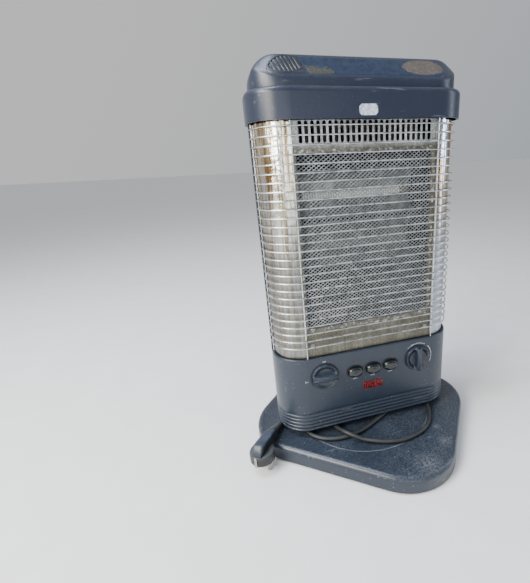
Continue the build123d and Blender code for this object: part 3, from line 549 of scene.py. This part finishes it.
ticks("power_dial_ticks", (knob_x, 0, knob_z),
      [(-1.8, 25.5, 2.6, 0.6, 90), (0, 25.5, 2.0, 0.6, 90), (1.8, 25.5, 2.6, 0.6, 90),
       (-31, -3.5, 2.6, 0.6, 90),
       (-29, -3.9, 2.0, 0.6, 90), (-27, -4.1, 2.0, 0.6, 90)])
ticks("thermostat_dial_ticks", (-knob_x, 0, knob_z),
      arc_ticks(26, 130, 62, 12, 2.0, 0.7) + arc_ticks(26, 42, -25, 14, 2.0, 0.7))
button_boxes = [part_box(name) for name in ("button_left", "button_middle", "button_right")]
button_places = [((low.x + high.x) / 2 / MM, (low.z + high.z) / 2 / MM) for low, high in button_boxes]
ticks("button_ticks", (0, 0, 0),
      [(x + offset, z - 13.2, 1.7, 0.6, 90 if offset % 2 else 60) for x, z in button_places
       for offset in (-3, -1, 1, 3)])


# Buttons: glossy black polystyrene caps, oval, with a thumb hollow in the face and a rounded crown.
def soft_oval(half_w, half_h, power=2.5, count=72):
    outline = []
    for index in range(count):
        angle = 2 * math.pi * index / count
        c, s = math.cos(angle), math.sin(angle)
        outline.append((half_w * math.copysign(abs(c) ** (2 / power), c),
                        half_h * math.copysign(abs(s) ** (2 / power), s)))
    return outline


cap_w, cap_h = 12.3, 8.6


def button_height(u, v):
    edge = (abs(u / cap_w) ** 2.5 + abs(v / cap_h) ** 2.5) ** 0.4
    crown = 1.5 + 6.8 * math.sqrt(max(1 - min(edge, 1) ** 5, 0))
    return crown - 0.4 * smooth(0.6, 0.1, edge)


button_black = mottled("black_polystyrene", 5, 5.0, ((0.35, "#070909"), (0.75, "#1b2021")), 0.2, IOR=1.59)
for name, (x, z) in zip(("button_left", "button_middle", "button_right"), button_places):
    cap = relief(name + "_cap", (x, front_y, z), soft_oval(cap_w, cap_h), button_height, button_black,
                 "black_plastic", name, rings=24, back=1.0)
    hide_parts(name)
    # A dark ring round the button: painted shade.
    relief(name + "_bezel", (x, front_y, z), soft_oval(14.0, 10.2), lambda u, v: 0.5, painted_shade_abs,
           "slate_plastic",
           "heater", rings=5)

# Pilot window: clear red acrylic with fine upright prisms moulded in its back, clouded by heat.
red_acrylic, tree, shader, place = begin("red_acrylic")
prisms = wire(tree, "ShaderNodeTexWave", {"Scale": 1 / (9 * MM), "Distortion": 0.6}, Vector=place)
cloud = wire(tree, "ShaderNodeTexNoise", {"Scale": 1 / (6 * MM), "Detail": 4.0}, Vector=place)
both = wire(tree, "ShaderNodeMix", {0: 0.75}, i2=prisms.outputs["Fac"], i3=cloud.outputs[0])
tone = wire(tree, "ShaderNodeValToRGB", {"stops": ((0.32, "#1d0608"), (0.5, "#3f0c0f"), (0.66, "#942222"))},
            i0=both.outputs[0])
tree.links.new(tone.outputs[0], shader.inputs["Base Color"])
shader.inputs["Roughness"].default_value = 0.18
shader.inputs["IOR"].default_value = 1.49
bump = wire(tree, "ShaderNodeBump", {"Strength": 0.35, "Distance": 0.0004}, Height=prisms.outputs["Fac"])
tree.links.new(bump.outputs[0], shader.inputs["Normal"])
paint(red_acrylic, "lamp_lens")
lamp_glass = mottled("lamp_glass", 4, 2.0, ((0.3, "#e8b89a"), (0.7, "#d09070")), 0.1)
paint(lamp_glass, "pilot_lamp")

# Sheet-metal front: bare aluminised steel, pressed and punched, dulled brown-grey by heat. Rolling left faint
# upright lines in it. The comb over the window is painted brighter: a painted highlight for the light its
# slot edges reflect.
bare_sheet, tree, shader, place = begin("bare_aluminised_steel")
drawn = wire(tree, "ShaderNodeMapping", {"Scale": (1, 1, 0.05)}, Vector=place)
rolled = wire(tree, "ShaderNodeTexNoise", {"Scale": 1 / (3 * MM), "Detail": 6.0}, Vector=drawn.outputs[0])
stain = wire(tree, "ShaderNodeTexNoise", {"Scale": 1 / (30 * MM), "Detail": 6.0}, Vector=place)
grit = wire(tree, "ShaderNodeTexNoise", {"Scale": 1 / (1.4 * MM), "Detail": 5.0}, Vector=place)
streaks = wire(tree, "ShaderNodeMix", {0: 0.35}, i2=grit.outputs[0], i3=rolled.outputs[0])
mixed = wire(tree, "ShaderNodeMix", {0: 0.35}, i2=streaks.outputs[0], i3=stain.outputs[0])
oiled = wire(tree, "ShaderNodeValToRGB", {"stops": ((0.36, "#4c493f"), (0.5, "#6b685c"), (0.66, "#949184"))},
             i0=mixed.outputs[0]).outputs[0]
bright = wire(tree, "ShaderNodeValToRGB", {"stops": ((0.38, "#77766f"), (0.5, "#b2b5b4"), (0.62, "#e3e8ea"))},
              i0=mixed.outputs[0]).outputs[0]
level = wire(tree, "ShaderNodeSeparateXYZ", None, Vector=place).outputs["Z"]
# Painted highlight: from the window's top edge up, the sheet takes the brighter tone.
upper = wire(tree, "ShaderNodeMapRange", {"From Min": 0.462, "From Max": 0.472}, Value=level)
comb_highlight_and_sheet_tone = wire(tree, "ShaderNodeMix", {"data_type": "RGBA"}, i0=upper.outputs[0], i6=oiled, i7=bright)
tree.links.new(comb_highlight_and_sheet_tone.outputs[2], shader.inputs["Base Color"])
shader.inputs["Metallic"].default_value = 0.75
rougher = wire(tree, "ShaderNodeMapRange", {"To Min": 0.38, "To Max": 0.6}, Value=stain.outputs[0])
tree.links.new(rougher.outputs[0], shader.inputs["Roughness"])
bump = wire(tree, "ShaderNodeBump", {"Strength": 0.2, "Distance": 0.0003}, Height=rolled.outputs[0])
tree.links.new(bump.outputs[0], shader.inputs["Normal"])
paint(bare_sheet, "front_plate")

# Plate behind the tubes: the same steel blued by years of heat, painted nearly black for the shade inside the
# casing.
heat_shield_painted_shade = mottled("heat_blued_steel_painted_shade", 25, 6.0, ((0.3, "#0d0d0d"), (0.6, "#191817"), (0.75, "#2e2925")),
                       0.75, Metallic=0.1)
paint(heat_shield_painted_shade, "heat_shield")


# Reflector cheeks: polished aluminium bent round the corners. Bending leaves upright waves, and years of heat
# leave straw and brown stripes that run the full height. Their white and blue-white are painted reflections,
# the tan band past the outer bend is a painted reflection of something brown, and the lower part is greyer
# and duller.
def polished(name, stops, lower_grey, stripe_mm, rough, reflection_band_from=0.126, reflection_band_most=0.4):
    made, tree, shader, place = begin(name)
    upright = wire(tree, "ShaderNodeMapping", {"Scale": (1, 1, 0.06)}, Vector=place)
    stripe = wire(tree, "ShaderNodeTexNoise",
                  {"Scale": 1 / (stripe_mm * MM), "Detail": 5.0, "Roughness": 0.62},
                  Vector=upright.outputs[0])
    straw = wire(tree, "ShaderNodeValToRGB", {"stops": stops}, i0=stripe.outputs[0]).outputs[0]
    axes = wire(tree, "ShaderNodeSeparateXYZ", None, Vector=place)
    level = axes.outputs["Z"]
    outward = wire(tree, "ShaderNodeMath", {"operation": "ABSOLUTE"}, i0=axes.outputs["X"])
    # Painted reflection: past the outer bend the stripes turn tan.
    bend = wire(tree, "ShaderNodeMapRange", {"From Min": reflection_band_from, "From Max": reflection_band_from + 0.007,
                                             "To Max": reflection_band_most},
                Value=outward.outputs[0])
    patchy = wire(tree, "ShaderNodeMapRange", {"From Min": 0.62, "From Max": 0.46}, Value=stripe.outputs[0])
    brown_reflection_mask = wire(tree, "ShaderNodeMath", {"operation": "MULTIPLY"}, i0=bend.outputs[0],
                   i1=patchy.outputs[0])
    straw = wire(tree, "ShaderNodeMix", {"data_type": "RGBA", 7: shade("#b58a52")}, i0=brown_reflection_mask.outputs[0],
                 i6=straw).outputs[2]
    ragged = wire(tree, "ShaderNodeTexNoise", {"Scale": 1 / (30 * MM), "Detail": 5.0},
                  Vector=upright.outputs[0])
    edge = wire(tree, "ShaderNodeMath", {"operation": "MULTIPLY_ADD", 1: 0.12}, i0=ragged.outputs[0],
                i2=level)
    dull = wire(tree, "ShaderNodeMapRange", {"From Min": 0.50, "From Max": 0.38, "To Max": 0.85},
                Value=edge.outputs[0])
    tone = wire(tree, "ShaderNodeMix", {"data_type": "RGBA", 7: shade(lower_grey)}, i0=dull.outputs[0], i6=straw)
    tree.links.new(tone.outputs[2], shader.inputs["Base Color"])
    shader.inputs["Metallic"].default_value = 1
    matt = wire(tree, "ShaderNodeMapRange", {"To Min": rough, "To Max": rough + 0.3}, Value=dull.outputs[0])
    tree.links.new(matt.outputs[0], shader.inputs["Roughness"])
    wave = wire(tree, "ShaderNodeTexNoise", {"Scale": 1 / (stripe_mm * 1.6 * MM), "Detail": 3.0},
                Vector=upright.outputs[0])
    dimples = wire(tree, "ShaderNodeTexNoise", {"Scale": 1 / (9 * MM), "Detail": 2.0}, Vector=place)
    ripple = wire(tree, "ShaderNodeMath", {"operation": "MULTIPLY_ADD", 1: 0.35}, i0=dimples.outputs[0],
                  i2=wave.outputs[0])
    bump = wire(tree, "ShaderNodeBump", {"Strength": 0.9, "Distance": 0.0022}, Height=ripple.outputs[0])
    tree.links.new(bump.outputs[0], shader.inputs["Normal"])
    return made


# The white and blue-white stops are painted reflections; the straw and brown ones are heat tint.
left_tones = ((0.32, "#4f4a46"), (0.41, "#96805a"), (0.48, "#dcd2b8"), (0.57, "#fbfaf4"), (0.64, "#a9b6c8"))
right_tones = ((0.32, "#8a6a42"), (0.42, "#c39c66"), (0.5, "#dfe3e4"), (0.6, "#f2f7fb"), (0.68, "#b6c8da"))
trough_tones = ((0.34, "#6f6c64"), (0.5, "#a5a49e"), (0.62, "#d6d6d1"))
paint(polished("polished_aluminium_left", left_tones, "#73746f", 6, 0.16), "left_cheek")
paint(polished("polished_aluminium_right", right_tones, "#a3a8ac", 9, 0.14, 0.121, 0.95), "right_cheek")
paint(polished("polished_aluminium_troughs", trough_tones, "#4d4b47", 20, 0.28), "reflector_upper",
      "reflector_lower")

# Heating tubes: frosted quartz over a wound coil, held in white ceramic caps.
frosted_quartz, tree, shader, place = begin("frosted_quartz")
winding = wire(tree, "ShaderNodeTexWave", {"Scale": 1 / (12 * MM), "Distortion": 1.0}, Vector=place)
tone = wire(tree, "ShaderNodeValToRGB", {"stops": ((0.2, "#b9b9b4"), (0.8, "#f0f0ec"))},
            i0=winding.outputs["Fac"])
tree.links.new(tone.outputs[0], shader.inputs["Base Color"])
shader.inputs["Roughness"].default_value = 0.3
shader.inputs["IOR"].default_value = 1.46
paint(frosted_quartz, "heating_tube_upper")
smoked_quartz = mottled("smoked_quartz", 9, 5.0, ((0.3, "#3f403e"), (0.7, "#777874")), 0.35, IOR=1.46)
paint(smoked_quartz, "heating_tube_lower")
fired_clay = mottled("fired_steatite", 2, 5.0, ((0.3, "#4d483f"), (0.7, "#7d776a")), 0.75)
paint(fired_clay, "element_caps")

# Ceramic heating stack above the tubes, stones between fins: painted black-brown for the shade seen through
# the comb's slots.
shaded_ceramic_stack = mottled("ceramic_stack_painted_shade", 5, 5.0, ((0.3, "#12100f"), (0.7, "#3a2c22")), 0.6)
paint(shaded_ceramic_stack, "ceramic_heater")

# Window mesh: expanded steel, drawn as two layers of flat strands that cross in diamonds. The real strands
# are about 0.5 mm wide, 2.5 mm apart, and are drawn coarser so that they show.
mesh_steel = mottled("expanded_steel", 14, 5.0, ((0.3, "#84888a"), (0.7, "#c4c8ca")), 0.38, Metallic=0.7)
# Window frame: steel rubbed in places; its palest patches are painted highlights as well as wear.
rail_wear_and_highlights, tree, shader, place = begin("rail_steel_wear_and_painted_highlights")
rubbing_and_highlights = wire(tree, "ShaderNodeTexNoise", {"Scale": 1 / (5 * MM), "Detail": 7.0, "Roughness": 0.7},
               Vector=place)
tone = wire(tree, "ShaderNodeValToRGB", {"stops": ((0.36, "#4c4942"), (0.54, "#7d7a70"), (0.66, "#dcdad2"))},
            i0=rubbing_and_highlights.outputs[0])
tree.links.new(tone.outputs[0], shader.inputs["Base Color"])
shader.inputs["Metallic"].default_value = 0.6
shader.inputs["Roughness"].default_value = 0.34
paint(rail_wear_and_highlights, "mesh_frame")
mesh_low, mesh_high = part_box("mesh_panel")
strand_pitch = 4.1
mesh_verts, mesh_faces = [], []
mesh_mid = (mesh_low + mesh_high) / 2 / MM
half_u, half_v = (mesh_high.x - mesh_low.x) / 2 / MM - 0.5, (mesh_high.z - mesh_low.z) / 2 / MM - 0.5
for lean, depth, strand_width in ((37, 0.0, 1.3), (-37, 0.45, 0.95)):
    run = Vector((math.cos(math.radians(lean)), math.sin(math.radians(lean))))
    side = Vector((-run.y, run.x))
    span = half_u * abs(side.x) + half_v * abs(side.y)
    for index in range(-int(span / strand_pitch), int(span / strand_pitch) + 1):
        start = side * index * strand_pitch
        limits = []
        for axis, half in ((0, half_u), (1, half_v)):
            limits.append(sorted(((-half - start[axis]) / run[axis], (half - start[axis]) / run[axis])))
        first, last = max(limits[0][0], limits[1][0]), min(limits[0][1], limits[1][1])
        if last - first < 2:
            continue
        base = len(mesh_verts)
        for end in (first, last):
            for offset, out in ((-1, 0), (1, 0), (0, 0.5)):
                spot = start + run * end + side * offset * strand_width / 2
                mesh_verts.append(Vector((mesh_mid.x + spot.x, mesh_mid.y + depth - out,
                                          mesh_mid.z + spot.y)) * MM)
        mesh_faces += [(base, base + 1, base + 4, base + 3), (base + 1, base + 2, base + 5, base + 4),
                       (base + 2, base, base + 3, base + 5), (base, base + 2, base + 1),
                       (base + 3, base + 4, base + 5)]
window_mesh = build("window_mesh", mesh_verts, mesh_faces, mesh_steel, "mesh_steel", "heater", 20)
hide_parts("mesh_panel")

# Guard: bright nickel-plated steel wire, spot-welded, greyed by dust in places.
plated_wire, tree, shader, place = begin("nickel_plated_wire")
dull = wire(tree, "ShaderNodeTexNoise", {"Scale": 1 / (12 * MM), "Detail": 6.0}, Vector=place)
tone = wire(tree, "ShaderNodeValToRGB", {"stops": ((0.3, "#a5a7a6"), (0.6, "#e0e3e5"))}, i0=dull.outputs[0])
tree.links.new(tone.outputs[0], shader.inputs["Base Color"])
shader.inputs["Metallic"].default_value = 1
rougher = wire(tree, "ShaderNodeMapRange", {"To Min": 0.16, "To Max": 0.4}, Value=dull.outputs[0])
tree.links.new(rougher.outputs[0], shader.inputs["Roughness"])
paint(plated_wire, "wire_guard")

# Top band and its blank paper sticker.
band_abs = slate_abs("slate_abs_band", "#1c2333", "#666d79", 0.4, 0.08, 0.33, 0.15)
paint(band_abs, "top_band")
sticker_paper = mottled("white_paper_label", 4, 6.0, ((0.35, "#9aa3b4"), (0.6, "#cdd3df")), 0.55)
paint(sticker_paper, "blank_sticker")

# Lid: a moulded cap with a low upright foot, a bevel that runs all round it and rounded ends.
lid_low, lid_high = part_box("top_lid")
lid_w, lid_d = (lid_high.x - lid_low.x) / MM, (lid_high.y - lid_low.y) / MM
lid_z, lid_top = lid_low.z / MM, lid_high.z / MM
lid_corner, lid_end, foot_height = 44, 36, 10
bevel_run, bevel_rise = 21, 28.5
end_squeeze, crown_curve, soft = 0.72, 0.0008, 1.1


def lid_height(x, y):
    """The lowest of the bevel, the crown and the round end, eased into one another."""
    inward = lid_corner - math.hypot(end_squeeze * max(abs(x) - lid_w / 2 + lid_corner, 0),
                                     max(abs(y) - lid_d / 2 + lid_corner, 0))
    bevel = lid_z + foot_height + 0.3 + inward * (bevel_rise / bevel_run)
    crown = lid_top - crown_curve * y * y
    reach = max(abs(x) - (lid_w / 2 - lid_end), 0)
    end = lid_top - lid_end + math.sqrt(max(lid_end ** 2 - reach * reach, 0))
    lowest = min(bevel, crown, end)
    return lowest - soft * math.log(sum(math.exp((lowest - h) / soft) for h in (bevel, crown, end)))


lid_rings = [oval(lid_w, lid_d, lid_corner, lid_z, 20)]
for inset, drop in [(0, 2.4), (0.25, 1.3), (0.8, 0.5), (1.6, 0.1)] + [(1.6 + 1.4 * k, 0)
                                                                      for k in range(1, 30)]:
    ring = oval(lid_w - 2 * inset, lid_d - 2 * inset, lid_corner - inset, 0, 20)
    lid_rings.append([Vector((p.x, p.y, max(lid_height(p.x / MM, p.y / MM) - drop, lid_z + 0.5) * MM))
                      for p in ring])
lid_abs = slate_abs("slate_abs_lid", "#1c2434", "#666d79", 0.45, 0.1, 0.33, 0.2)
lid = build("moulded_lid", *loft(lid_rings, (False, True)), lid_abs, "slate_plastic", "heater", 50)
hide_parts("top_lid")


def on_lid(name, left, right, low, high, lift, material, slot_name, step=0.5, sharp=50):
    """A closed skin laid on the lid's front bevel: x runs along it and s up it, in millimetres."""
    rings = []
    rows = int((high - low) / step) + 1
    for row in range(rows + 1):
        s = low + (high - low) * row / rows
        columns = int((right(0) - left(0)) / step)
        top, under = [], []
        for column in range(columns + 1):
            x = left(s) + (right(s) - left(s)) * column / columns
            y = -lid_d / 2 + 10.5 + s * bevel_run / math.hypot(bevel_run, bevel_rise)
            edge = row in (0, rows) or column in (0, columns)
            z = lid_height(x, y)
            top.append(Vector((x, y, z + (0.05 if edge else lift(x, s)))) * MM)
            under.append(Vector((x, y, z - 0.8)) * MM)
        rings.append(top + under[::-1])
    return build(name, *loft(rings), material, slot_name, "heater", sharp)


# Vent insert: a separate eye-shaped moulding snapped into the bevel, with eight leaning slots in it.
vent_abs = slate_abs("slate_abs_vent", "#1e242f", "#5c626c", 0.4, 0.3, 0.4, 0.2)


def vent_left(s):
    return -103 - 22 * math.sqrt(max(1 - ((s - 1) / 15.5) ** 2, 0))


def vent_right(s):
    return -78.5 - (s + 13.8) * 0.34


def vent_lift(x, s):
    """Plate height, with slots cut through it inside an oval."""
    inside = ((x + 101.5) / 20.5) ** 2 + ((s - 0.3) / 12.2) ** 2
    across = (x + 101.5 + 0.30 * s) / 5.1
    slot = abs(across - math.floor(across) - 0.5) < 0.27 and inside < 1
    rim = 0.7 * smooth(0.16, 0.05, abs(inside - 1.12))
    return 0.1 if slot else 1.2 + rim


vent = on_lid("lid_vent_moulding", vent_left, vent_right, -13.8, 14.3, vent_lift, vent_abs, "slate_plastic",
              0.4, 30)
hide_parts("lid_vent_insert")
# The dark plate under the slots is painted shade.
on_lid("lid_vent_shadow", lambda s: -101 - 20 * math.sqrt(max(1 - (s / 12.4) ** 2, 0)),
       lambda s: -101 + 20 * math.sqrt(max(1 - (s / 12.4) ** 2, 0)), -12, 12, lambda x, s: 0.3, painted_shade_abs,
       "slate_plastic", 1.0)

# Label: a long printed film, blank here, dark blue and glossy. Its lower left is lifted and yellowed by old
# glue, and its right end is rubbed through to a brown oval.
label_film, tree, shader, place = begin("dark_blue_label_film")
blotch = wire(tree, "ShaderNodeTexNoise", {"Scale": 1 / (7 * MM), "Detail": 8.0, "Roughness": 0.7},
              Vector=place)
fine = wire(tree, "ShaderNodeTexNoise", {"Scale": 1 / (1.6 * MM), "Detail": 6.0, "Roughness": 0.7},
            Vector=place)
tone = wire(tree, "ShaderNodeValToRGB", {"stops": ((0.3, "#182131"), (0.7, "#27344a"))},
            i0=blotch.outputs[0]).outputs[0]
matt = None
for centre, size, spill, stops in (((84, -37), (30, 7.6), 0.35,
                                    ((0.3, "#24201e"), (0.5, "#4a443f"), (0.7, "#776e65"))),
                                   ((-66, -43.5), (20, 5.5), 2.2, ((0.3, "#141a24"), (0.5, "#2c2f2d"),
                                                                (0.7, "#605e4a")))):
    offset = wire(tree, "ShaderNodeVectorMath",
                  {"operation": "SUBTRACT", 1: (centre[0] * MM, centre[1] * MM, 0)},
                  i0=place)
    scaled = wire(tree, "ShaderNodeVectorMath", {"operation": "MULTIPLY",
                                                 1: (1 / (size[0] * MM), 1 / (size[1] * MM), 0)},
                  i0=offset.outputs[0])
    length = wire(tree, "ShaderNodeVectorMath", {"operation": "LENGTH"}, i0=scaled.outputs[0])
    ragged = wire(tree, "ShaderNodeMath", {"operation": "MULTIPLY_ADD", 1: spill}, i0=blotch.outputs[0],
                  i2=length.outputs["Value"])
    inside = wire(tree, "ShaderNodeMapRange",
                  {"From Min": 1.04 + spill / 1.9, "From Max": 0.96 + spill / 2.2},
                  Value=ragged.outputs[0])
    tone = wire(tree, "ShaderNodeMix", {"data_type": "RGBA"}, i0=inside.outputs[0], i6=tone,
                i7=wire(tree, "ShaderNodeValToRGB", {"stops": stops},
                        i0=fine.outputs[0]).outputs[0]).outputs[2]
    matt = inside if matt is None else wire(tree, "ShaderNodeMath", {"operation": "MAXIMUM"},
                                            i0=matt.outputs[0],
                                            i1=inside.outputs[0])
tree.links.new(tone, shader.inputs["Base Color"])
rubbed = wire(tree, "ShaderNodeMapRange", {"To Min": 0.12, "To Max": 0.62}, Value=matt.outputs[0])
tree.links.new(rubbed.outputs[0], shader.inputs["Roughness"])
shader.inputs["IOR"].default_value = 1.5
bump = wire(tree, "ShaderNodeBump", {"Strength": 0.3, "Distance": 0.0003}, Height=fine.outputs[0])
tree.links.new(bump.outputs[0], shader.inputs["Normal"])


def label_right(s):
    return 95 + 21 * max(1 - abs((s - 0.3) / 14.2) ** 2.3, 0) ** (1 / 2.3)


label = on_lid("blank_label_film", lambda s: -74 - (s + 13.5) * 0.36, label_right, -13.5, 14, lambda x,
               s: 0.45,
               label_film, "label_film", 1.0)
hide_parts("lid_label")

# Studio: a pale floor that runs out of sight under a white surround, a large soft key light from the upper
# left, a broad low light from the front, and tall strip lights for the polished metal to reflect.
floor_paint = mottled("matt_floor_paint", 60, 4.0, ((0.3, "#f1f1f0"), (0.7, "#f6f6f5")), 0.9)
floor_mesh = bpy.data.meshes.new("studio_floor")
floor_mesh.from_pydata([(-40, -40, 0), (40, -40, 0), (40, 40, 0), (-40, 40, 0)], [], [(0, 1, 2, 3)])
floor = bpy.data.objects.new("studio_floor", floor_mesh)
bpy.context.scene.collection.objects.link(floor)
floor.data.materials.append(floor_paint)


def soft_light(name, place, aim, width, height, watts, code):
    """A rectangular area light at a place, aimed at a point, in metres."""
    data = bpy.data.lights.new(name, "AREA")
    data.shape = "RECTANGLE"
    data.size, data.size_y = width, height
    data.energy = watts
    data.color = shade(code)[:3]
    made = bpy.data.objects.new(name, data)
    bpy.context.scene.collection.objects.link(made)
    made.location = place
    made.rotation_euler = (Vector(aim) - Vector(place)).to_track_quat("-Z", "Y").to_euler()
    return made


middle = (0, 0, 0.3)
soft_light("key_softbox", (-1.6, -0.6, 1.3), middle, 0.8, 0.8, 46, "#fdfbf7")
soft_light("front_softbox", (-0.4, -2.2, 0.5), middle, 1.6, 0.8, 12, "#f4f7ff")
soft_light("top_softbox", (-0.8, 0.0, 1.9), middle, 0.5, 1.0, 30, "#e2ebff")
soft_light("left_strip", (-1.15, -0.9, 0.74), (0, 0, 0.45), 0.5, 0.6, 11, "#fff9ec")
soft_light("right_strip", (1.1, -0.4, 0.5), middle, 0.2, 1.2, 5, "#dfeaff")
sky = bpy.data.worlds.new("studio_surround")
sky.use_nodes = True
tree = sky.node_tree
direction = tree.nodes.new("ShaderNodeTexCoord").outputs["Generated"]
towards = wire(tree, "ShaderNodeVectorMath", {"operation": "DOT_PRODUCT", 1: (-0.75, 0.45, 0.48)},
               i0=direction)
level = wire(tree, "ShaderNodeMapRange", {"From Min": -0.8, "From Max": 0.7}, Value=towards.outputs["Value"])
tone = wire(tree, "ShaderNodeValToRGB", {"stops": ((0.0, "#a3abb7"), (0.45, "#dde2ea"), (1.0, "#ffffff"))},
            i0=level.outputs[0])
tree.links.new(tone.outputs[0], tree.nodes["Background"].inputs[0])
tree.nodes["Background"].inputs[1].default_value = 0.64
bpy.context.scene.world = sky
